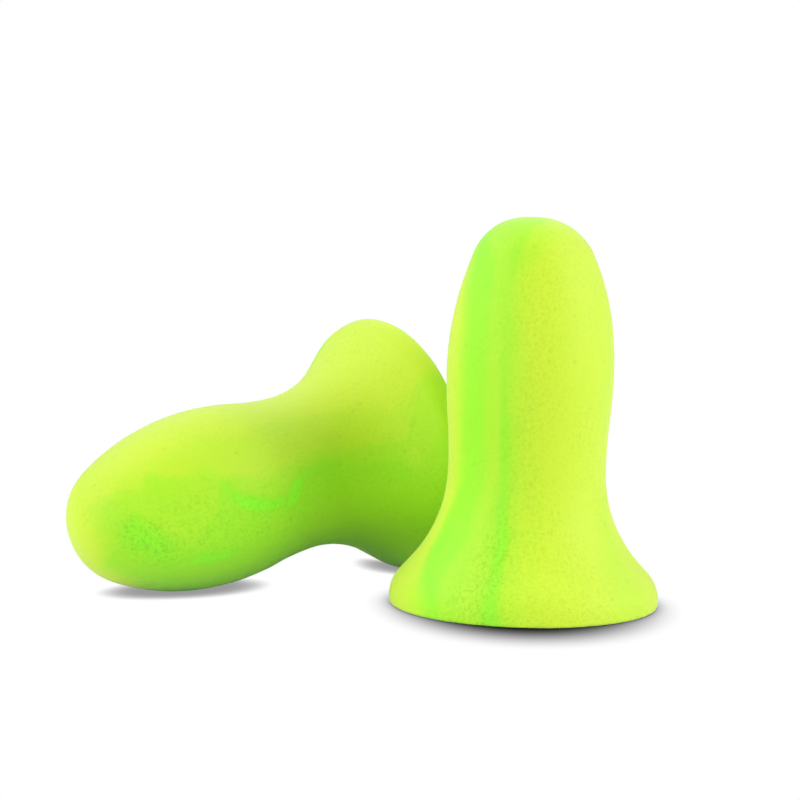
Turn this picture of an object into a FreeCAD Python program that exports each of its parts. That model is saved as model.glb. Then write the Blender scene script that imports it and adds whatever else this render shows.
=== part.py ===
import FreeCAD, Part
import math
import os

import Sketcher

# A pair of one-piece foam ear plugs: a bell-shaped body of soft foam with a rounded
# nose, a slight waist and a wide flat foot. One plug stands on its foot. Its twin lies
# behind it, on the edge of its foot and on its barrel.
# Origin: centre of the standing plug's foot, on the floor. +Z is up. Millimetres.

# ---------------------------------------------------------------- driving dimensions
# Radii are measured from the plug's own axis, heights from its flat foot.
DIMENSIONS = {
    "plug_length": 25.0,
    "rim_radius": 8.8,
    "shoulder_radius": 2.2,
    "flare_angle": 39.5,
    "neck_arc_radius": 8.9,
    "waist_radius": 5.2,
    "waist_height": 8.75,
    "barrel_radius": 5.75,
    "barrel_height": 15.5,
    "tip_radius": 4.45,
    "lying_foot_x": -8.7,
    "lying_foot_y": 12.7,
    "lying_heading": 216.0,
}


def make_sheet(doc):
    sheet = doc.addObject("Spreadsheet::Sheet", "Sizes")
    for row, (alias, value) in enumerate(DIMENSIONS.items(), start=1):
        sheet.set(f"A{row}", alias)
        sheet.set(f"B{row}", str(value))
        sheet.setAlias(f"B{row}", alias)
    return sheet


# ---------------------------------------------------------------- the profile
class Profile:
    """Where the arcs of one half of the plug's outline start, end and have their centres.

    Going up from the foot: a short upright rim wall, a rounded shoulder, a straight
    flare, the hollow of the neck down to the waist, a swell out to the barrel, the
    long side of the nose and the round tip. Each piece is tangent to the next.
    """

    def __init__(self, sheet):
        self.length = sheet.plug_length
        self.rim = sheet.rim_radius
        self.shoulder = sheet.shoulder_radius
        self.flare = math.radians(sheet.flare_angle)
        self.neck_arc = sheet.neck_arc_radius
        self.waist = FreeCAD.Vector(sheet.waist_radius, sheet.waist_height, 0)
        self.barrel = FreeCAD.Vector(sheet.barrel_radius, sheet.barrel_height, 0)
        self.tip = sheet.tip_radius
        outward = FreeCAD.Vector(math.cos(self.flare), math.sin(self.flare), 0)
        self.neck_centre = self.waist + FreeCAD.Vector(self.neck_arc, 0, 0)
        self.flare_top = self.neck_centre - outward * self.neck_arc
        # the shoulder's centre stands one shoulder radius inside the wall and the flare
        centre_x = self.rim - self.shoulder
        drop = (self.shoulder + (centre_x - self.flare_top.x) * outward.x) / outward.y
        self.shoulder_centre = FreeCAD.Vector(centre_x, self.flare_top.y - drop, 0)
        self.flare_bottom = self.shoulder_centre + outward * self.shoulder
        # two equal arcs, one hollow and one full, carry the waist into the barrel
        step = self.barrel - self.waist
        self.swell_arc = (step.x ** 2 + step.y ** 2) / (4 * step.x)
        self.swell_angle = math.asin(step.y / (2 * self.swell_arc))
        # the side of the nose leaves the barrel upright and runs into the round tip
        rise = self.length - self.tip - self.barrel.y
        self.side_arc = (self.barrel.x ** 2 + rise ** 2 - self.tip ** 2) / (2 * (self.barrel.x - self.tip))
        self.side_centre = self.barrel - FreeCAD.Vector(self.side_arc, 0, 0)
        self.tip_centre = FreeCAD.Vector(0, self.length - self.tip, 0)
        self.nose_angle = math.atan2(rise, self.side_arc - self.barrel.x)

    def resting_pitch(self):
        """Nose-down angle, in radians, at which rim shoulder and barrel both touch the floor."""
        along = self.side_centre.y - self.shoulder_centre.y
        across = self.side_centre.x - self.shoulder_centre.x
        gain = self.side_arc - self.shoulder
        return math.asin(-gain / math.hypot(along, across)) - math.atan2(across, along)

    def resting_height(self, pitch):
        """Height of the foot's centre over the floor when the plug lies at that pitch."""
        centre = self.shoulder_centre
        return centre.y * math.sin(pitch) + centre.x * math.cos(pitch) + self.shoulder


def arc(centre, radius, start, end):
    circle = Part.Circle(centre, FreeCAD.Vector(0, 0, 1), radius)
    return Part.ArcOfCircle(circle, start, end)


def draw_profile(sketch, p):
    """Closed half outline in the sketch: its X is the radius and its Y the height."""
    zero = FreeCAD.Vector(0, 0, 0)
    rim_foot = FreeCAD.Vector(p.rim, 0, 0)
    rim_top = FreeCAD.Vector(p.rim, p.shoulder_centre.y, 0)
    swell_centre_low = p.waist + FreeCAD.Vector(p.swell_arc, 0, 0)
    swell_centre_high = p.barrel - FreeCAD.Vector(p.swell_arc, 0, 0)
    half_turn = math.pi
    add = sketch.addGeometry
    foot = add(Part.LineSegment(zero, rim_foot))
    wall = add(Part.LineSegment(rim_foot, rim_top))
    shoulder = add(arc(p.shoulder_centre, p.shoulder, 0, p.flare))
    flare = add(Part.LineSegment(p.flare_bottom, p.flare_top))
    neck = add(arc(p.neck_centre, p.neck_arc, half_turn, half_turn + p.flare))
    swell_low = add(arc(swell_centre_low, p.swell_arc, half_turn - p.swell_angle, half_turn))
    swell_high = add(arc(swell_centre_high, p.swell_arc, -p.swell_angle, 0))
    side = add(arc(p.side_centre, p.side_arc, 0, p.nose_angle))
    tip = add(arc(p.tip_centre, p.tip, p.nose_angle, math.pi / 2))
    axis = add(Part.LineSegment(FreeCAD.Vector(0, p.length, 0), zero))

    start, end, centre = 1, 2, 3
    origin_point = (-1, 1)
    vertical_axis = -2
    rule = Sketcher.Constraint
    rules = [
        rule("Coincident", foot, start, *origin_point),
        rule("Horizontal", foot),
        rule("Coincident", foot, end, wall, start),
        rule("Vertical", wall),
        rule("Tangent", wall, end, shoulder, start),
        rule("Tangent", shoulder, end, flare, start),
        rule("Tangent", flare, end, neck, end),
        rule("Tangent", neck, start, swell_low, end),
        rule("Horizontal", neck, start, neck, centre),
        rule("Tangent", swell_low, start, swell_high, start),
        rule("Equal", swell_low, swell_high),
        rule("Tangent", swell_high, end, side, start),
        rule("Horizontal", side, start, side, centre),
        rule("Tangent", side, end, tip, start),
        rule("PointOnObject", tip, centre, vertical_axis),
        rule("Coincident", tip, end, axis, start),
        rule("PointOnObject", axis, start, vertical_axis),
        rule("Coincident", axis, end, *origin_point),
    ]
    for each in rules:
        sketch.addConstraint(each)

    sizes = [
        ("rim_radius", rule("Distance", foot, p.rim)),
        ("shoulder_radius", rule("Radius", shoulder, p.shoulder)),
        ("neck_arc_radius", rule("Radius", neck, p.neck_arc)),
        ("waist_radius", rule("DistanceX", *origin_point, neck, start, p.waist.x)),
        ("waist_height", rule("DistanceY", *origin_point, neck, start, p.waist.y)),
        ("barrel_radius", rule("DistanceX", *origin_point, side, start, p.barrel.x)),
        ("barrel_height", rule("DistanceY", *origin_point, side, start, p.barrel.y)),
        ("tip_radius", rule("Radius", tip, p.tip)),
        ("plug_length", rule("Distance", axis, p.length)),
    ]
    for name, size in sizes:
        sketch.renameConstraint(sketch.addConstraint(size), name)
        sketch.setExpression(f".Constraints.{name}", f"Sizes.{name} * 1 mm")
    # the flare leans inwards on its way up, so its direction is past the upright
    lean = sketch.addConstraint(rule("Angle", flare, math.pi / 2 + p.flare))
    sketch.renameConstraint(lean, "flare_lean")
    sketch.setExpression(".Constraints.flare_lean", "90 deg + Sizes.flare_angle * 1 deg")


# ---------------------------------------------------------------- the two plugs
def origin_feature(body, role):
    return next(item for item in body.Origin.OriginFeatures if item.Role == role)


def make_plug(doc, label, profile):
    """One solid of foam: the half outline turned once round the plug's axis."""
    body = doc.addObject("PartDesign::Body", label)
    body.Label = label
    sketch = body.newObject("Sketcher::SketchObject", f"{label}_outline")
    sketch.AttachmentSupport = [(origin_feature(body, "XZ_Plane"), "")]
    sketch.MapMode = "FlatFace"
    draw_profile(sketch, profile)
    turned = body.newObject("PartDesign::Revolution", f"{label}_foam")
    turned.Profile = sketch
    turned.ReferenceAxis = (sketch, ["V_Axis"])
    turned.Angle = 360
    sketch.Visibility = False
    body.Tip = turned
    return body


def lay_down(sheet, profile):
    """Placement of the plug that lies on its rim and barrel, nose down."""
    pitch = profile.resting_pitch()
    foot_centre = FreeCAD.Vector(sheet.lying_foot_x, sheet.lying_foot_y, profile.resting_height(pitch))
    tip_over = FreeCAD.Rotation(FreeCAD.Vector(0, 1, 0), 90 + math.degrees(pitch))
    heading = FreeCAD.Rotation(FreeCAD.Vector(0, 0, 1), sheet.lying_heading)
    return FreeCAD.Placement(foot_centre, heading * tip_over)


def check(doc, bodies):
    for item in doc.Objects:
        bad = {"Invalid", "Error"} & set(item.State)
        if bad:
            raise RuntimeError(f"{item.Label} failed to build: {sorted(bad)}")
    for body in bodies:
        shape = body.Shape
        if shape.isNull() or not shape.isValid() or len(shape.Solids) != 1:
            raise RuntimeError(f"{body.Label} is not one valid solid")


def main():
    doc = FreeCAD.newDocument("foam_ear_plugs")
    sheet = make_sheet(doc)
    doc.recompute()
    profile = Profile(sheet)

    standing_plug = make_plug(doc, "standing_plug", profile)
    lying_plug = make_plug(doc, "lying_plug", profile)
    lying_plug.Placement = lay_down(sheet, profile)
    doc.recompute()

    bodies = [standing_plug, lying_plug]
    check(doc, bodies)
    os.makedirs("parts", exist_ok=True)
    for body in bodies:
        body.Shape.exportStep(f"parts/{body.Label}.step")
        print(f"{body.Label}: {body.Shape.Volume:.1f} mm3")
    gap = standing_plug.Shape.distToShape(lying_plug.Shape)[0]
    print(f"gap between the plugs: {gap:.2f} mm")


main()
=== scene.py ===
import math

import bmesh
import bpy
import numpy as np
from mathutils import Matrix, Vector, kdtree, noise


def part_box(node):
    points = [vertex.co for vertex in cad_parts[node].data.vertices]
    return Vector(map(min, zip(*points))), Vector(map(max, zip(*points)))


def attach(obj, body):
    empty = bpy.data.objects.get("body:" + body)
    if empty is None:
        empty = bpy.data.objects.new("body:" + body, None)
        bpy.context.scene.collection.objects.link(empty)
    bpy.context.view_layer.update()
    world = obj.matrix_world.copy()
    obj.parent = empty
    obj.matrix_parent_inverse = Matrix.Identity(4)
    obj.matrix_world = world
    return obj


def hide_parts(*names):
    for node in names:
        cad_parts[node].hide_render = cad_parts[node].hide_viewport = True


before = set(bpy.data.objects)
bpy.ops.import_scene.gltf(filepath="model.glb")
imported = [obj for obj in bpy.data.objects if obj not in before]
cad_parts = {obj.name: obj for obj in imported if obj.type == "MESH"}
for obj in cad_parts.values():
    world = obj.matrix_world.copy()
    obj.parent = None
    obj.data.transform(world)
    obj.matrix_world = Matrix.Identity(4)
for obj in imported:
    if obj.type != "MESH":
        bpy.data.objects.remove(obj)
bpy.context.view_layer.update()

# Lengths are in millimetres in the plug's own frame, and in metres in the row's frame.
# MM carries one into the other. In the plug's own frame the foot is at the origin and the
# nose along +Z. An azimuth of 0 is the side that faces the viewer. On the standing plug +90
# is its right-hand side, and on the lying plug +90 is its upper side.
MM = 0.001


# ================================================================ the frame's plugs
def resting_place(node):
    """Matrix that carries the plug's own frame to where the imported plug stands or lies."""
    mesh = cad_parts[node].data
    same_way = {}
    for face in mesh.polygons:
        facing = tuple(round(part, 3) for part in face.normal)
        same_way.setdefault(facing, []).append(face)
    foot = max(same_way.values(), key=lambda faces: sum(face.area for face in faces))
    total = sum(face.area for face in foot)
    centre = sum((face.center * face.area for face in foot), Vector()) / total
    along = -sum((face.normal * face.area for face in foot), Vector()).normalized()
    upright = Vector((0, 0, 1))
    if along.dot(upright) > 0.999:
        across = Vector((0, -1, 0))
    else:
        across = upright.cross(along).normalized()
    turn = Matrix((across, along.cross(across), along)).transposed().to_4x4()
    return Matrix.Translation(centre) @ turn @ Matrix.Scale(MM, 4)


PLUG_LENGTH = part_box("standing_plug")[1].z / MM

# ================================================================ the outline
FOOT_EDGE = 0.2              # radius of the foot's lower edge


class Outline:
    """Half of a plug's outline. Its path runs from the foot's centre out to the rim, up the
    side and over to the tip."""

    def __init__(self, rim, shoulder, flare, neck_arc, waist, barrel, nose, crown, length):
        waist, barrel = np.array(waist), np.array(barrel)
        flare = math.radians(flare)
        out = np.array((math.cos(flare), math.sin(flare)))
        neck_centre = waist + (neck_arc, 0)
        flare_top = neck_centre - out * neck_arc
        shoulder_x = rim - shoulder
        drop = (shoulder + (shoulder_x - flare_top[0]) * out[0]) / out[1]
        shoulder_centre = np.array((shoulder_x, flare_top[1] - drop))
        step = barrel - waist
        swell = (step @ step) / (4 * step[0])
        bow = math.asin(step[1] / (2 * swell))
        # the nose's arc has its centre a little off the axis, and a flatter crown closes it
        nose, aside = nose
        drop = math.sqrt((crown - nose) ** 2 - aside ** 2)
        nose_centre = np.array((aside, length - crown + drop))
        rise = nose_centre[1] - barrel[1]
        inset = barrel[0] - aside
        side = (rise ** 2 + inset ** 2 - nose ** 2) / (2 * (inset - nose))
        nose_start = math.atan2(rise, side - inset)
        nose_end = math.atan2(drop, aside)

        self.rim = rim
        self.rows = []
        self.line((0, 0), (rim - FOOT_EDGE, 0))
        self.arc((rim - FOOT_EDGE, FOOT_EDGE), FOOT_EDGE, -math.pi / 2, 0)
        self.line((rim, FOOT_EDGE), (rim, shoulder_centre[1]))
        self.arc(shoulder_centre, shoulder, 0, flare)
        self.line(shoulder_centre + out * shoulder, flare_top)
        self.arc(neck_centre, neck_arc, math.pi + flare, math.pi, hollow=True)
        self.arc(waist + (swell, 0), swell, math.pi, math.pi - bow, hollow=True)
        self.arc(barrel - (swell, 0), swell, -bow, 0)
        self.arc(barrel - (side, 0), side, 0, nose_start)
        self.arc(nose_centre, nose, nose_start, nose_end)
        self.arc((0, length - crown), crown, nose_end, math.pi / 2)

        rows = np.array(self.rows)
        self.point, self.normal = rows[:, :2], rows[:, 2:]
        steps = np.hypot(*np.diff(self.point, axis=0).T)
        self.path = np.concatenate(([0], np.cumsum(steps)))
        self.length = self.path[-1]

    def line(self, start, end):
        start, end = np.array(start, float), np.array(end, float)
        along = (end - start) / np.hypot(*(end - start))
        normal = (along[1], -along[0])
        for t in np.linspace(0, 1, 40):
            self.rows.append((*(start + (end - start) * t), *normal))

    def arc(self, centre, radius, start, end, hollow=False):
        facing = -1 if hollow else 1
        for angle in np.linspace(start, end, 80):
            ray = np.array((math.cos(angle), math.sin(angle)))
            self.rows.append((*(np.array(centre) + ray * radius), *(ray * facing)))

    def at(self, path):
        """Radius, height and the two parts of the outward normal at these path lengths."""
        columns = [np.interp(path, self.path, c) for c in (*self.point.T, *self.normal.T)]
        size = np.hypot(columns[2], columns[3])
        return columns[0], columns[1], columns[2] / size, columns[3] / size

    def surface(self, path, azimuth):
        """Points on the plug's surface."""
        radius, height, _, _ = self.at(path)
        return np.stack((radius * np.cos(azimuth), radius * np.sin(azimuth), height), -1)

    def path_at(self, height):
        """Path length at a height up the side. Below 0 it runs back in over the foot's face."""
        if height < 0:
            return self.rim + height
        side = self.path > self.rim - FOOT_EDGE
        return np.interp(height, self.point[side, 1], self.path[side])


# ================================================================ the plug's grid
AROUND = 320                 # faces round the side
SIDE_ROWS = 216
CAP = AROUND // 4            # faces across each square cap that closes the foot and the nose
FOOT_CAP_PATH = 8.0          # how far out the foot's cap reaches
NOSE_CAP_REACH = 4.0         # how far down from the tip the nose's cap reaches
TURN = 2 * math.pi

# where the bake's map holds the side's strip and the two round caps
SIDE_MAP_LOW, SIDE_MAP_HIGH = 0.42, 0.995
FOOT_MAP = ((0.21, 0.205), 0.2)
NOSE_MAP = ((0.62, 0.205), 0.17)


def disc_grid(count):
    """Square grid laid on a disc of radius 1: distance from the centre and angle of each point."""
    t = np.linspace(-1, 1, count + 1)
    u, v = np.meshgrid(t, t, indexing="ij")
    wide = np.abs(u) >= np.abs(v)
    safe_u = np.where(u == 0, 1, u)
    safe_v = np.where(v == 0, 1, v)
    distance = np.where(wide, np.abs(u), np.abs(v))
    angle = np.where(wide, math.pi / 4 * v / safe_u, math.pi / 2 - math.pi / 4 * u / safe_v)
    angle = angle + np.where(np.where(wide, u, v) < 0, math.pi, 0)
    return distance, angle


class Grid:
    """A plug's points as path length and azimuth, its quads and their places in the bake's
    map. There is no pole: rows of quads go round the side, and a square cap closes each end."""

    def __init__(self, outline):
        nose_path = outline.length - NOSE_CAP_REACH
        columns = np.arange(AROUND) * (TURN / AROUND) - math.pi
        side_path = np.linspace(FOOT_CAP_PATH, nose_path, SIDE_ROWS + 1)
        path = [np.repeat(side_path, AROUND)]
        azimuth = [np.tile(columns, SIDE_ROWS + 1)]
        index = np.arange((SIDE_ROWS + 1) * AROUND).reshape(SIDE_ROWS + 1, AROUND)
        quads = [self.ring_quads(index)]
        maps = [self.side_map()]
        count = index.size
        distance, turn = disc_grid(CAP)
        edge = distance > 1 - 1e-9
        for at_foot in (True, False):
            ring = index[0] if at_foot else index[-1]
            cap = np.empty((CAP + 1, CAP + 1), int)
            cap[edge] = ring[np.rint((turn[edge] + math.pi) / TURN * AROUND).astype(int) % AROUND]
            inner = ~edge
            cap[inner] = count + np.arange(inner.sum())
            count += inner.sum()
            inner_path = distance[inner] * FOOT_CAP_PATH
            if not at_foot:
                inner_path = outline.length - distance[inner] * NOSE_CAP_REACH
            path.append(inner_path)
            azimuth.append(turn[inner])
            (centre_u, centre_v), size = FOOT_MAP if at_foot else NOSE_MAP
            flat = np.stack((centre_u + size * distance * np.cos(turn),
                             centre_v + size * distance * np.sin(turn)), -1)
            order = slice(None, None, -1) if at_foot else slice(None)
            quads.append(self.cap_corners(cap)[:, order])
            maps.append(self.cap_corners(flat)[:, order])
        self.path = np.concatenate(path)
        self.azimuth = (np.concatenate(azimuth) + math.pi) % TURN - math.pi
        self.quads = np.concatenate(quads)
        self.maps = np.concatenate(maps)

    @staticmethod
    def ring_quads(index):
        after = np.roll(index, -1, axis=1)
        return np.stack((index[:-1], after[:-1], after[1:], index[1:]), -1).reshape(-1, 4)

    @staticmethod
    def side_map():
        u, v = np.meshgrid(np.linspace(0, 1, AROUND + 1),
                           np.linspace(SIDE_MAP_LOW, SIDE_MAP_HIGH, SIDE_ROWS + 1))
        corner = np.stack((u, v), -1)
        quads = np.stack((corner[:-1, :-1], corner[:-1, 1:], corner[1:, 1:], corner[1:, :-1]), 2)
        return quads.reshape(-1, 4, 2)

    @staticmethod
    def cap_corners(grid):
        quads = np.stack((grid[:-1, :-1], grid[1:, :-1], grid[1:, 1:], grid[:-1, 1:]), 2)
        return quads.reshape(-1, 4, *grid.shape[2:])


# ================================================================ marbling and skin
STROKE_CHORDS = 4            # straight pieces between two points of a stroke


class Stroke:
    """A stroke laid over what is under it: the level it brings (of dye, say), how far its edges
    blend, and the points of its middle line, as height, azimuth in degrees and half width."""

    def __init__(self, level, soft, *line):
        self.level, self.soft, self.line = level, soft, line

    def cover(self, outline, path, azimuth, radius, place):
        rows = np.array([(outline.path_at(height), math.radians(turn), half)
                         for height, turn, half in self.line])
        fine = np.linspace(0, len(rows) - 1, (len(rows) - 1) * STROKE_CHORDS + 1)
        rows = np.stack([np.interp(fine, np.arange(len(rows)), column) for column in rows.T], -1)
        middle = outline.surface(rows[:, 0], rows[:, 1])
        reach = np.full(len(place), -np.inf)
        for start, end, half_0, half_1 in zip(middle, middle[1:], rows[:, 2], rows[1:, 2]):
            chord = end - start
            away = place - start
            share = np.clip(away @ chord / (chord @ chord), 0, 1)
            distance = np.linalg.norm(away - share[:, None] * chord, axis=1)
            reach = np.maximum(reach, half_0 + (half_1 - half_0) * share - distance)
        return smooth_step(reach, -self.soft, self.soft)


class Wash:
    """A wash over one side of a plug, between an upper and a lower edge. Each edge is points of
    height and azimuth in degrees."""

    def __init__(self, level, soft, upper, lower):
        self.level, self.soft, self.upper, self.lower = level, soft, upper, lower

    def cover(self, outline, path, azimuth, radius, place):
        inside = []
        for edge, side in ((self.upper, 1), (self.lower, -1)):
            rows = [(outline.path_at(height), math.radians(turn)) for height, turn in edge]
            line = np.interp(path, *np.array(rows).T)
            inside.append(smooth_step(side * (line - azimuth) * radius, -self.soft, self.soft))
        # over the foot's face the wash ends along the chord between its two edges at the rim
        start, end = math.radians(self.lower[0][1]), math.radians(self.upper[0][1])
        middle, half = (end + start) / 2, (end - start) / 2
        past_chord = place @ (math.cos(middle), math.sin(middle), 0) - outline.rim * math.cos(half)
        on_foot = path < outline.rim - FOOT_EDGE
        return np.where(on_foot, smooth_step(past_chord, -self.soft, self.soft), inside[0] * inside[1])


def smooth_step(value, low, high):
    t = np.clip((value - low) / (high - low), 0, 1)
    return t * t * (3 - 2 * t)


NOISE_SHIFT = Vector((17.3, 5.1, 9.7))    # carries one seed's noise to the next one's


def soft_noise(points, grain, seed):
    """Smooth noise between about -1 and 1 whose lumps are about `grain` millimetres wide."""
    shift = NOISE_SHIFT * seed
    return np.array([noise.noise(Vector(p) / grain + shift) for p in points])


STANDING_DYE = [
    # the green side with its pale right-hand fringe, then the strong band in it
    Wash(0.12, 0.9, ((0, 4), (4, 6), (8, 10), (12, 6), (16, -2), (20, -4), (22, 4), (23, 14), (24, 40),
                     (25, 75)),
         ((0, -70), (6, -68), (9, -62), (20, -68), (22, -84), (24, -120), (25, -150))),
    Wash(0.28, 0.5, ((0, -5), (4.4, -6), (9.3, -4), (15, -7), (19.5, -10), (21.5, -9), (22.7, 0), (23.4, 6),
                     (24, 12), (24.6, 28), (25, 80)),
         ((0, -58), (8, -66), (16, -62), (20, -70), (21.6, -80), (23.2, -94), (24.3, -130), (25, -150))),
    Wash(0.54, 0.4, ((0, -11), (1.2, -13), (4.4, -12), (6.8, -11), (9.3, -12), (12.5, -15), (18.7, -17),
                     (21.5, -18), (22.4, -14), (23.7, -12), (24.4, -8), (25, 40)),
         ((0, -50), (0.8, -52), (1.9, -56), (3.8, -68), (5.7, -70), (7, -64), (9, -60), (12.2, -57),
          (15.4, -57), (17.9, -59), (19.8, -66), (21.5, -78), (22.9, -95), (24, -125), (25, -150))),
    Stroke(0.52, 0.4, (22.0, -62, 1.3), (23.6, -60, 1.4), (24.6, -60, 1.2)),
    Stroke(0.82, 0.4, (-2, -42, 0.35), (0.6, -43, 0.4), (1.8, -46, 0.5), (2.8, -52, 0.8), (3.9, -55, 1.3),
           (5.5, -53, 1.2), (7.2, -49, 0.9), (9, -45, 0.8), (15.5, -44, 0.75), (18, -44, 0.8),
           (20.5, -48, 1.0), (22, -54, 1.0), (22.8, -60, 0.9), (23.5, -72, 0.7), (24.2, -85, 0.3)),
    Stroke(0.93, 0.35, (5.2, -58, 0.1), (4.0, -59, 0.3), (3.3, -57, 0.15), (2.8, -55, 0.2), (1.8, -47, 0.2),
           (0.9, -44, 0.2), (0.3, -45, 0.1)),
    Stroke(0.90, 0.5, (23.4, -72, 0.25), (22.8, -62, 0.4), (22.0, -56, 0.1)),
    # the pale ridge and the thin line beside it
    Stroke(0.42, 0.35, (0.8, -25, 0.5), (3.7, -31, 0.4), (5.2, -32, 0.4), (7.3, -31, 0.35),
           (9.2, -27, 0.35), (13, -26, 0.3), (17, -25, 0.2)),
    Stroke(0.82, 0.25, (-2, -16, 0.4), (0.7, -17, 0.5), (1.6, -17, 0.4), (3.8, -18, 0.4), (6.2, -18, 0.35),
           (9.6, -19, 0.25), (13.4, -21, 0.15), (17, -22, 0.05)),
    Stroke(0.90, 0.3, (7.0, -18, 0.1), (5.6, -18, 0.3), (4.2, -18, 0.3), (3.4, -18, 0.1)),
    Stroke(0.90, 0.35, (2.0, -17, 0.1), (0.8, -17, 0.5), (0.2, -17, 0.4)),
    Stroke(0.64, 0.3, (24.2, -8, 0.1), (23.0, -24, 0.25), (21.6, -21, 0.15)),
    # faint green in the yellow side
    Stroke(0.16, 1.0, (1.5, 48, 1.6), (4, 58, 1.0), (7, 66, 0.4)),
    Stroke(0.13, 0.8, (18, 66, 0.4), (14, 64, 0.5), (11, 68, 0.2)),
    # the far side
    Stroke(0.50, 0.5, (-4, 150, 1.5), (1, 148, 2.6), (6, 155, 1.9), (14, 150, 2.2), (22, 160, 1.6)),
    Stroke(0.78, 0.35, (-2, 158, 0.5), (3, 156, 0.8), (8, 163, 0.6), (15, 157, 0.7), (19, 160, 0.3)),
    Stroke(0.60, 0.3, (0.5, -128, 0.5), (6, -135, 0.35), (12, -130, 0.3), (17, -136, 0.15)),
    Stroke(0.40, 0.5, (2, 108, 0.5), (7, 112, 0.4), (11, 106, 0.2)),
]

LYING_DYE = [
    # the green lower side under its paler upper fringe, deepest along the barrel
    Wash(0.18, 0.8, ((0, 44), (1.9, 38), (3.5, 34), (6.3, 46), (9.5, 58), (11.6, 60), (14.5, 48),
                     (17.2, 57), (18.6, 54), (21.7, 54), (25, 100)),
         ((0, -160), (22, -150), (25, -150))),
    Wash(0.46, 0.5, ((0, 40), (0.6, 38), (2.2, 26), (3.7, 15), (6.8, 20), (8.5, 22), (10.6, 24), (12.6, 18),
                     (14.2, 17), (17.3, 27), (19.5, 34), (20.8, 46), (21.9, 38), (23.4, 48), (25, 90)),
         ((0, -150), (22, -140), (25, -150))),
    Wash(0.69, 0.4, ((0, -60), (1.5, -30), (2.6, -10), (4.3, 4), (7.6, 10), (11.1, 16), (12, 5), (14, 4),
                     (15.9, 8), (17, 18), (18, 2), (19.5, -15), (21, -8), (22.0, 10), (22.8, 18), (23.4, 6),
                     (24, -30), (25, -60)),
         ((0, -120), (22, -130), (25, -150))),
    Stroke(0.53, 1.0, (8.5, -30, 2.4), (5.5, -32, 3.2), (2.5, -35, 3.8)),
    Stroke(0.34, 0.6, (0.3, 30, 1.8), (2.0, 20, 1.4), (3.2, 8, 0.8)),
    # the far half of the tip stays yellow
    Stroke(0.04, 1.0, (21.5, 108, 2.3), (23.2, 105, 3.3), (24.8, 180, 3.6), (23.2, 255, 3.0),
           (21.8, 252, 2.0)),
    # dark blotches on the nose
    Stroke(0.78, 0.9, (23.1, 7, 0.7), (22.4, -6, 1.0), (21.4, -20, 0.9), (19.5, -28, 0.5),
           (16.6, -30, 0.6)),
    Stroke(0.95, 0.8, (22.9, 4, 0.5), (22.2, -7, 0.75), (21.5, -15, 0.65), (21.2, -27, 0.25)),
    Stroke(1.0, 0.6, (19.5, -29, 0.15), (18.7, -28, 0.55), (17.2, -27, 0.4)),
    # the streak along the barrel
    Stroke(0.82, 0.35, (16.9, 18, 0.3), (16.2, 8, 0.45), (15.2, 2, 0.45), (14.0, -1, 0.4), (12.5, -4, 0.45),
           (12.0, 0, 0.5), (11.7, 6, 0.4), (10.8, 12, 0.35), (9.5, 13, 0.25), (7.8, 12, 0.1)),
    Stroke(1.05, 0.35, (16.3, 8, 0.15), (15.3, 2, 0.5), (14.4, 0, 0.4), (13.4, -1, 0.25)),
    Stroke(1.08, 0.3, (12.4, -4, 0.3), (12.0, 0, 0.45), (11.6, 6, 0.35)),
    # green wisps and patches where the yellow comes through
    Stroke(0.54, 0.4, (20.9, 40, 0.3), (20.6, 25, 0.35), (20.0, 5, 0.4), (19.2, -6, 0.3)),
    Stroke(0.38, 0.5, (18.6, 24, 0.5), (17.9, 30, 0.5)),
    Stroke(0.56, 0.4, (13.6, -16, 0.2), (12.6, -20, 0.3)),
    # the far side
    Stroke(0.45, 0.8, (-0.2, 146, 0.9), (3, 152, 1.2), (8, 160, 0.7), (13, 152, 1.3), (18, 144, 0.5),
           (21, 140, 0.1)),
    Stroke(0.76, 0.35, (3, 163, 0.1), (7, 160, 0.4), (11, 152, 0.45), (16, 146, 0.1)),
    Stroke(0.55, 0.4, (1, 120, 0.5), (4, 124, 0.3), (8, 130, 0.1)),
]

# how open the foam's cells are: 0 is a closed, smooth skin and 1 or more is all cells
STANDING_CELLS = [
    Stroke(0.60, 1.5, (21, -4, 0.6), (15, -4, 1.0), (8, -4, 1.2), (5, -2, 1.6)),
    Stroke(0.55, 1.5, (3, 0, 4.0), (1, 10, 4.5)),
    Stroke(1.0, 1.2, (6.5, -18, 0.3), (3.5, -20, 1.0), (1, -24, 1.6), (-1, -24, 1.6)),
]
LYING_CELLS = [
    Stroke(0.65, 1.5, (22.5, -5, 1.2), (19, -5, 2.2), (15, -5, 2.0), (11, -5, 1.0)),
    Stroke(0.38, 1.5, (9, 0, 1.0), (4, 0, 2.0)),
    Stroke(1.3, 1.0, (23.0, 4, 0.5), (22.2, -7, 1.0), (21.4, -18, 0.9)),
]


# ================================================================ the plugs
# Each noise is its size and its grain in millimetres, and its own number among the noises.
EDGE_DRIFT, EDGE_JITTER = (0.22, 2.6, 1), (0.07, 0.7, 2)     # how strokes waver round the plug
EDGE_SLIDE = (0.3, 3.1, 3)                                   # and along it
CELL_LUMPS = (0.3, 3.5, 4)   # here the size is a share of open cells
SWELLS, RIPPLES = (0.05, 5.0, 5), (0.012, 0.9, 6)            # of the surface
CELLS_USUAL, CELLS_LEAST, CELLS_MOST = 0.25, 0.12, 0.6
UNDYED = 0.02
PATTERN_SHIFT = 40.0         # sets the two plugs apart in the material's patterns

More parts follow.
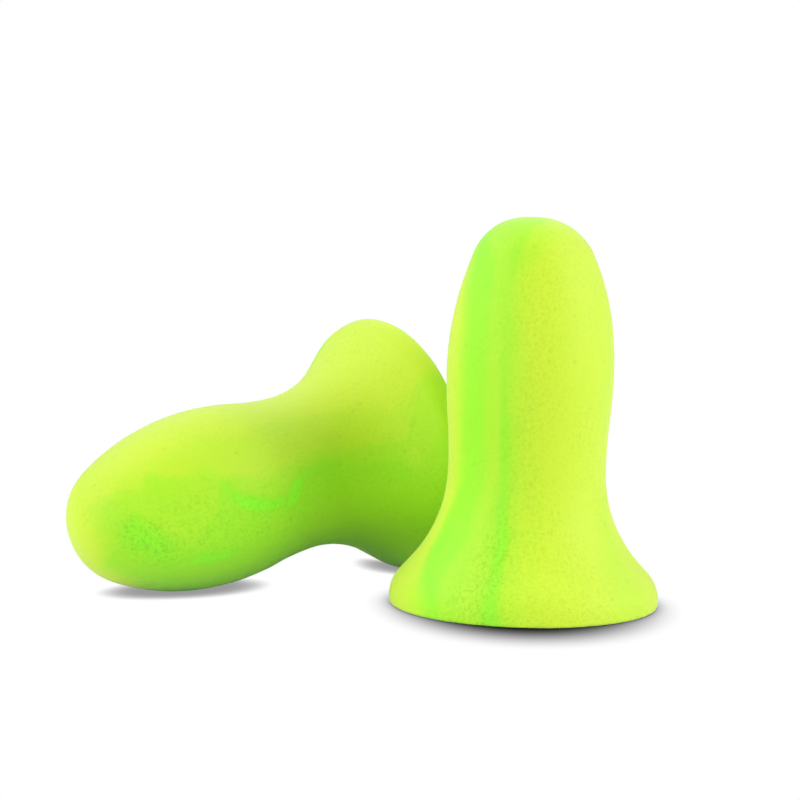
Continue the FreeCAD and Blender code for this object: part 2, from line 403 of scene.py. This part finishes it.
PORES = 420
PORE_LEAST, PORE_MOST = 0.10, 0.24           # radius
PORE_SHAPE, PORE_SPREAD = 1.5, 0.045         # of the gamma draw that is added to the least
PORE_ANYWHERE = 0.06         # chance of a pore in closed skin, where open cells have 1
PORE_DEPTH = 0.16            # of a pore's radius
BEND_POWERS = (0, 1, 2, 3, 12)               # a plug leans by these powers of its height
SETTLE = 0.03 * MM           # foam lower than this is pressed flat against the floor


class Plug:
    """One plug's foam. Each pair in `bend` is a lean, towards azimuth 0 and towards azimuth
    90, for one of the powers of its height."""

    def __init__(self, name, node, outline, bend, dye, cells, seed):
        self.name, self.node, self.outline, self.bend = name, node, outline, np.array(bend)
        self.dye, self.cells, self.seed = dye, cells, seed
        self.grid = Grid(outline)

    def lumps(self, place, size, grain, number):
        return size * soft_noise(place, grain, self.seed + number)

    def painted(self, strokes, start, place, radius):
        """Level at each point after the strokes are laid over one another, with wavering edges."""
        drift = self.lumps(place, *EDGE_DRIFT) + self.lumps(place, *EDGE_JITTER)
        slide = self.lumps(place, *EDGE_SLIDE)
        azimuth = self.grid.azimuth + drift / np.maximum(radius, 1.0)
        path = np.clip(self.grid.path + slide, 0, self.outline.length)
        moved = self.outline.surface(path, azimuth)
        level = start
        for stroke in strokes:
            cover = stroke.cover(self.outline, path, azimuth, radius, moved)
            level = level + (stroke.level - level) * cover
        return level

    def pores(self, place, cells):
        """Depth of the open pores at each point, and how far into a pore the point is."""
        rng = np.random.default_rng(self.seed)
        corner = place[self.grid.quads]
        area = np.linalg.norm(np.cross(corner[:, 2] - corner[:, 0], corner[:, 3] - corner[:, 1]), axis=1)
        centre = corner.mean(1)
        chance = area * (PORE_ANYWHERE + cells[self.grid.quads].mean(1) ** 2)
        chosen = rng.choice(len(area), PORES, replace=False, p=chance / chance.sum())
        tree = kdtree.KDTree(len(place))
        for number, point in enumerate(place):
            tree.insert(point, number)
        tree.balance()
        depth, inside = np.zeros(len(place)), np.zeros(len(place))
        for middle, size in zip(centre[chosen], rng.gamma(PORE_SHAPE, PORE_SPREAD, PORES)):
            reach = min(PORE_LEAST + size, PORE_MOST)
            for _, number, distance in tree.find_range(middle, reach):
                dip = (1 - (distance / reach) ** 2) ** 2
                depth[number] = max(depth[number], dip * reach * PORE_DEPTH)
                inside[number] = max(inside[number], dip)
        return depth, inside

    def make(self):
        azimuth = self.grid.azimuth
        radius, height, out, up = self.outline.at(self.grid.path)
        place = np.stack((radius * np.cos(azimuth), radius * np.sin(azimuth), height), -1)
        normal = np.stack((out * np.cos(azimuth), out * np.sin(azimuth), up), -1)
        cells = CELLS_USUAL + self.lumps(place, *CELL_LUMPS)
        cells = self.painted(self.cells, np.clip(cells, CELLS_LEAST, CELLS_MOST), place, radius)
        depth, inside = self.pores(place, cells)
        relief = self.lumps(place, *SWELLS) + self.lumps(place, *RIPPLES)
        point = place + normal * (relief - depth)[:, None]
        share = point[:, 2:] / PLUG_LENGTH
        for power, lean in zip(BEND_POWERS, self.bend):
            point[:, :2] += share ** power * lean
        carry = np.array(resting_place(self.node))
        point = point @ carry[:3, :3].T + carry[:3, 3]
        low = point[:, 2] < SETTLE
        point[low, 2] = SETTLE * np.exp(point[low, 2] / SETTLE - 1)

        mesh = bpy.data.meshes.new(self.name)
        mesh.from_pydata(point.tolist(), [], self.grid.quads.tolist())
        mesh.shade_smooth()
        layer = mesh.uv_layers.new(name="OFBake")
        layer.data.foreach_set("uv", self.grid.maps.ravel())
        dye = self.painted(self.dye, np.full(len(place), UNDYED), place, radius)
        for name, level in (("dye", dye), ("cells", cells), ("pore", inside)):
            attribute = mesh.attributes.new(name, "FLOAT", "POINT")
            attribute.data.foreach_set("value", level)
        spot = mesh.attributes.new("place", "FLOAT_VECTOR", "POINT")
        spot.data.foreach_set("vector", (place + PATTERN_SHIFT * self.seed).ravel())
        piece = bpy.data.objects.new(self.name, mesh)
        bpy.context.scene.collection.objects.link(piece)
        return piece


standing = Plug("standing_foam", "standing_plug",
                Outline(rim=8.72, shoulder=2.26, flare=42.0, neck_arc=8.96, waist=(5.11, 8.79),
                        barrel=(5.43, 15.15), nose=(3.82, 0.39), crown=9.0, length=PLUG_LENGTH + 0.07),
                bend=((0, 0), (-1.0, 0.09), (0, 0.50), (0, -0.22), (0, -0.21)),
                dye=STANDING_DYE, cells=STANDING_CELLS, seed=1)
lying = Plug("lying_foam", "lying_plug",
             Outline(rim=8.98, shoulder=2.35, flare=37.7, neck_arc=8.75, waist=(5.30, 8.7),
                     barrel=(5.95, 15.1), nose=(4.35, 0.1), crown=5.5, length=PLUG_LENGTH),
             bend=((0, 0.13), (0, 0), (-0.8, -0.13)), dye=LYING_DYE, cells=LYING_CELLS, seed=2)


# ================================================================ materials
class Nodes:
    """Adds nodes to a tree. An input is given as a plain value or as another node's output."""

    def __init__(self, tree):
        self.tree = tree

    def add(self, kind, inputs, **settings):
        node = self.tree.nodes.new(kind)
        for name, value in settings.items():
            setattr(node, name, value)
        for name, value in inputs.items():
            self.feed(node.inputs[name], value)
        return node

    def feed(self, socket, value):
        if isinstance(value, bpy.types.NodeSocket):
            self.tree.links.new(value, socket)
        else:
            socket.default_value = value

    def math(self, operation, *values):
        return self.add("ShaderNodeMath", dict(enumerate(values)), operation=operation).outputs[0]

    def around_zero(self, value, size):
        """A texture's 0 to 1 turned into -size/2 to size/2."""
        return self.math("MULTIPLY", self.math("SUBTRACT", value, 0.5), size)

    def step(self, value, low, high, at_low=0.0, at_high=1.0):
        inputs = {"Value": value, "From Min": low, "From Max": high, "To Min": at_low, "To Max": at_high}
        return self.add("ShaderNodeMapRange", inputs, interpolation_type="SMOOTHSTEP").outputs[0]

    def attribute(self, name, output):
        return self.add("ShaderNodeAttribute", {}, attribute_name=name).outputs[output]

    def noise(self, place, scale, detail=2.0):
        inputs = {"Vector": place, "Scale": scale, "Detail": detail}
        return self.add("ShaderNodeTexNoise", inputs).outputs["Fac"]


FOAM_COLOURS = (             # dye, then red, green and blue
    (0.00, (0.62, 0.85, 0.025)),
    (0.45, (0.44, 0.86, 0.012)),
    (0.70, (0.37, 0.86, 0.008)),
    (0.84, (0.33, 0.87, 0.008)),
    (1.00, (0.28, 0.95, 0.006)),
)

ROUGHNESS = 0.6
ALBEDO = 0.85
SPECULAR = 0.35
SHEEN = 0.20
SHEEN_ROUGHNESS = 0.5
GRAIN, FINE_GRAIN = 4.8, 14.0                # cells in a millimetre, more or less
# the grain's levels where a dent and a knob begin and where they are full
DENT_BEGINS, DENT_FULL = 0.50, 0.30
KNOB_BEGINS, KNOB_FULL = 0.54, 0.72
# pits, painted dark dots of shade with no relief, are scattered at this grain, and only where a
# broader noise makes a patch of them
PIT_GRAIN, PIT_BEGINS, PIT_FULL = 2.6, 0.24, 0.10
PATCH_GRAIN, PATCH_BEGINS, PATCH_FULL = 0.9, 0.46, 0.60
# how much darker, or lighter for a knob, each makes the foam: painted shade in the dents, pores
# and pits, and painted light on the knobs
DENT_PAINTED_SHADE, KNOB_PAINTED_LIGHT, PORE_PAINTED_SHADE, PIT_PAINTED_SHADE = 0.10, 0.06, 0.06, 0.12
# how much dye each adds or takes: the threads, drawn out along the plug, the clouds and the rest
ALONG = (1.0, 1.0, 0.09)
THREAD_GRAIN, THREAD_DETAIL, THREAD_DYE = 2.4, 3.0, 0.16
CLOUD_GRAIN, CLOUD_DYE = 0.5, 0.10
GRAIN_DYE, PIT_DYE = -0.12, 0.22
GRAIN_ROUGHNESS, PORE_ROUGHNESS = 0.2, 0.1
KNOB_RISE, FINE_RISE = 0.6, 0.3              # where a dent's fall is 1
BUMP_STRENGTH, BUMP_DEPTH = 0.8, 0.03 * MM


def foam_material():
    material = bpy.data.materials.new("marbled_foam")
    material.use_nodes = True
    nodes = Nodes(material.node_tree)
    shader = material.node_tree.nodes["Principled BSDF"]
    place = nodes.attribute("place", "Vector")
    pore = nodes.attribute("pore", "Fac")
    grain = nodes.noise(place, GRAIN)
    fine_grain = nodes.noise(place, FINE_GRAIN)

    # the foam's cells: small dents close together with knobs between them, and scattered pits. The
    # dents and knobs are bumped, and their darker and lighter colour is painted shade and light; the
    # pits are painted dark, greener dots of shade with no bump
    cells = nodes.attribute("cells", "Fac")
    dent = nodes.math("MULTIPLY", nodes.step(grain, DENT_BEGINS, DENT_FULL), cells)
    knob = nodes.math("MULTIPLY", nodes.step(grain, KNOB_BEGINS, KNOB_FULL), cells)
    scatter = nodes.add("ShaderNodeTexVoronoi", {"Vector": place, "Scale": PIT_GRAIN})
    hole = nodes.step(scatter.outputs["Distance"], PIT_BEGINS, PIT_FULL)
    patch = nodes.step(nodes.noise(place, PATCH_GRAIN), PATCH_BEGINS, PATCH_FULL)
    painted_pit = nodes.math("MULTIPLY", nodes.math("MULTIPLY", hole, patch), cells)

    # dye: the painted marbling, threads of it along the plug, and a fine mottle
    along = nodes.add("ShaderNodeVectorMath", {0: place, 1: ALONG}, operation="MULTIPLY").outputs[0]
    threads = nodes.noise(along, THREAD_GRAIN, THREAD_DETAIL)
    clouds = nodes.noise(place, CLOUD_GRAIN)
    dye = nodes.attribute("dye", "Fac")
    for texture, size in ((threads, THREAD_DYE), (clouds, CLOUD_DYE), (grain, GRAIN_DYE)):
        dye = nodes.math("ADD", dye, nodes.around_zero(texture, size))
    dye = nodes.math("ADD", dye, nodes.math("MULTIPLY", painted_pit, PIT_DYE))
    ramp = nodes.add("ShaderNodeValToRGB", {"Fac": dye})
    stops = ramp.color_ramp.elements
    stops.remove(stops[-1])
    stops[0].color = (*FOAM_COLOURS[0][1], 1)
    for position, colour in FOAM_COLOURS[1:]:
        stops.new(position).color = (*colour, 1)

    # the colour scaled by painted shade in the dents, pores and pits and by painted light on the knobs
    painted_light_and_shade = nodes.math("SUBTRACT", ALBEDO, nodes.math("MULTIPLY", dent, DENT_PAINTED_SHADE))
    painted_light_and_shade = nodes.math("ADD", painted_light_and_shade, nodes.math("MULTIPLY", knob, KNOB_PAINTED_LIGHT))
    painted_light_and_shade = nodes.math("SUBTRACT", painted_light_and_shade, nodes.math("MULTIPLY", pore, PORE_PAINTED_SHADE))
    painted_light_and_shade = nodes.math("SUBTRACT", painted_light_and_shade, nodes.math("MULTIPLY", painted_pit, PIT_PAINTED_SHADE))
    inputs = {0: ramp.outputs["Color"], "Scale": painted_light_and_shade}
    colour = nodes.add("ShaderNodeVectorMath", inputs, operation="SCALE")
    nodes.feed(shader.inputs["Base Color"], colour.outputs[0])

    roughness = nodes.math("ADD", ROUGHNESS, nodes.around_zero(grain, GRAIN_ROUGHNESS))
    roughness = nodes.math("ADD", roughness, nodes.math("MULTIPLY", pore, PORE_ROUGHNESS))
    nodes.feed(shader.inputs["Roughness"], roughness)
    fine = nodes.math("MULTIPLY", nodes.math("MULTIPLY", fine_grain, cells), FINE_RISE)
    skin = nodes.math("SUBTRACT", nodes.math("ADD", nodes.math("MULTIPLY", knob, KNOB_RISE), fine), dent)
    inputs = {"Height": skin, "Strength": BUMP_STRENGTH, "Distance": BUMP_DEPTH}
    bump = nodes.add("ShaderNodeBump", inputs)
    nodes.feed(shader.inputs["Normal"], bump.outputs[0])
    shader.inputs["Specular IOR Level"].default_value = SPECULAR
    shader.inputs["Sheen Weight"].default_value = SHEEN
    shader.inputs["Sheen Roughness"].default_value = SHEEN_ROUGHNESS
    return material


foam = foam_material()
for plug in (standing, lying):
    piece = plug.make()
    piece.data.materials.append(foam)
    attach(piece, plug.node)
    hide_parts(plug.node)

# ================================================================ floor and backdrop
FLOOR_HALF = 3.0
FLOOR_LEVEL, BOUNCE_LEVEL = -0.01 * MM, -0.02 * MM
FLOOR_BOUNCE = (0.8, 0.8, 0.8)
BACKDROP_RADIUS = 1.5
# The tight painted shadow, from ambient occlusion: its reach and the open share where the floor is
# darkest and where it is white. The standing plug's soft painted shadow, an oval fixed round the
# origin: how far it spreads aside, to the back and to the front, and the share of that where it is
# darkest. Then the brightness of each at its darkest.
CONTACT_REACH, CONTACT_DARK, CONTACT_WHITE = 1.35 * MM, 0.05, 0.90
SPREAD_ASIDE, SPREAD_BACK, SPREAD_FRONT, SPREAD_DARK = 10.5 * MM, 10 * MM, 15.5 * MM, 0.55
CONTACT_TONE, SOFT_TONE = 0.32, 0.02


def stage_object(name, mesh, material):
    mesh.materials.append(material)
    stage_piece = bpy.data.objects.new(name, mesh)
    bpy.context.scene.collection.objects.link(stage_piece)
    return stage_piece


def stage_material(name):
    """A new material, its nodes and the socket that takes its surface."""
    material = bpy.data.materials.new(name)
    material.use_nodes = True
    surface = material.node_tree.nodes["Material Output"].inputs["Surface"]
    return material, Nodes(material.node_tree), surface


def floor(name, level, material):
    mesh = bpy.data.meshes.new(name)
    corners = [(-FLOOR_HALF, -FLOOR_HALF, level), (FLOOR_HALF, -FLOOR_HALF, level),
               (FLOOR_HALF, FLOOR_HALF, level), (-FLOOR_HALF, FLOOR_HALF, level)]
    mesh.from_pydata(corners, [], [(0, 1, 2, 3)])
    return stage_object(name, mesh, material)


def floor_with_painted_shadows():
    """Plain white with neutral painted shadows: a tight one from ambient occlusion where foam comes close
    to the floor, and a soft oval one at a fixed place round the standing plug, mostly in front of it."""
    material, nodes, surface = stage_material("floor_with_painted_shadows")
    # the tight shadow is painted from an ambient occlusion node, not cast by the lamps
    around = nodes.add("ShaderNodeAmbientOcclusion", {"Distance": CONTACT_REACH}, samples=16)
    painted_contact_shadow = nodes.step(around.outputs["AO"], CONTACT_DARK, CONTACT_WHITE, CONTACT_TONE, 1.0)
    position = nodes.add("ShaderNodeNewGeometry", {}).outputs["Position"]
    x, y, _ = nodes.add("ShaderNodeSeparateXYZ", {"Vector": position}).outputs
    aside = nodes.math("DIVIDE", x, SPREAD_ASIDE)
    to_back = nodes.math("DIVIDE", y, SPREAD_BACK)
    to_front = nodes.math("DIVIDE", y, -SPREAD_FRONT)
    along = nodes.math("MAXIMUM", to_back, to_front)
    squares = nodes.math("ADD", nodes.math("POWER", aside, 2.0), nodes.math("POWER", along, 2.0))
    away = nodes.math("SQRT", squares)
    # the soft shadow is painted as an oval fixed round the origin, where the standing plug stands
    soft = nodes.step(away, SPREAD_DARK, 1.0, SOFT_TONE, 1.0)
    inputs = {"Color": (1, 1, 1, 1), "Strength": nodes.math("MULTIPLY", painted_contact_shadow, soft)}
    nodes.feed(surface, nodes.add("ShaderNodeEmission", inputs).outputs[0])
    return material


def bounce_floor():
    material, nodes, surface = stage_material("bounce_floor")
    nodes.feed(surface, nodes.add("ShaderNodeBsdfDiffuse", {"Color": (*FLOOR_BOUNCE, 1)}).outputs[0])
    return material


def see_only(piece, seen_by):
    """Leaves a stage piece visible to these kinds of rays and to no others."""
    for rays in ("camera", "diffuse", "glossy", "transmission", "volume_scatter", "shadow"):
        setattr(piece, f"visible_{rays}", rays in seen_by)


def backdrop():
    """A white dome that only the camera sees, so that the floor has no horizon."""
    mesh = bpy.data.meshes.new("backdrop")
    shell = bmesh.new()
    bmesh.ops.create_icosphere(shell, subdivisions=4, radius=BACKDROP_RADIUS)
    shell.to_mesh(mesh)
    shell.free()
    material, nodes, surface = stage_material("backdrop")
    white = nodes.add("ShaderNodeEmission", {"Color": (1, 1, 1, 1), "Strength": 1.0})
    nodes.feed(surface, white.outputs[0])
    return stage_object("backdrop", mesh, material)


# The camera sees a white sheet with painted shadows and a white dome. The foam sees a slightly
# greyer sheet instead.
see_only(floor("floor", FLOOR_LEVEL, floor_with_painted_shadows()), ("camera",))
see_only(floor("floor_bounce", BOUNCE_LEVEL, bounce_floor()), ("diffuse", "glossy", "shadow"))
see_only(backdrop(), ("camera",))

# ================================================================ light
# Soft boxes round the plugs: azimuth from the camera's side towards the right and elevation in
# degrees, the cosines where the box fades out and where it is full, and its strength.
WIDE, NARROW = (0.5, 1.0), (0.86, 0.98)
SOFT_BOXES = (
    (180, 50, WIDE, 0.64),
    (-120, 50, WIDE, 0.43),
    (120, 50, WIDE, 0.48),
    (-90, 42, NARROW, 3.05),
    (-60, 10, NARROW, 2.1),
    (-30, 10, NARROW, 2.6),
    (75, 25, NARROW, 5.6),
)


def direction_to(azimuth, elevation):
    turn, rise = math.radians(azimuth), math.radians(elevation)
    return Vector((math.sin(turn) * math.cos(rise), -math.cos(turn) * math.cos(rise), math.sin(rise)))


def studio():
    """Light from soft boxes at the sides and the back. Round the camera it is darker."""
    world = bpy.data.worlds.new("studio")
    bpy.context.scene.world = world
    world.use_nodes = True
    nodes = Nodes(world.node_tree)
    direction = nodes.add("ShaderNodeTexCoord", {}).outputs["Generated"]
    strength = 0.0
    for azimuth, elevation, (fades, full), power in SOFT_BOXES:
        inputs = {0: direction, 1: direction_to(azimuth, elevation)}
        toward = nodes.add("ShaderNodeVectorMath", inputs, operation="DOT_PRODUCT").outputs["Value"]
        strength = nodes.math("ADD", strength, nodes.step(toward, fades, full, 0.0, power))
    background = world.node_tree.nodes["Background"]
    background.inputs["Color"].default_value = (1, 1, 1, 1)
    nodes.feed(background.inputs["Strength"], strength)


studio()

# ================================================================ camera
# Low, with a long lens, tipped by about a degree.
AIM = Vector((-8.23, 0.0, 13.15)) * MM
CAMERA_DISTANCE = 148 * MM
CAMERA_RISE = math.radians(5.4)
CAMERA_ROLL = math.radians(0.96)
LENS, SENSOR_WIDTH = 103.0, 36       # of the camera, in real millimetres

camera = bpy.data.objects.new("camera", bpy.data.cameras.new("camera"))
bpy.context.scene.collection.objects.link(camera)
back = Vector((0, -math.cos(CAMERA_RISE), math.sin(CAMERA_RISE)))
camera.location = AIM + back * CAMERA_DISTANCE
look = (-back).to_track_quat("-Z", "Y").to_matrix().to_4x4()
camera.rotation_euler = (look @ Matrix.Rotation(CAMERA_ROLL, 4, "Z")).to_euler()
camera.data.lens = LENS
camera.data.sensor_width = SENSOR_WIDTH
camera.data.clip_start = 0.01
camera.data.clip_end = 20
bpy.context.scene.camera = camera
bpy.context.scene.view_settings.view_transform = "Standard"
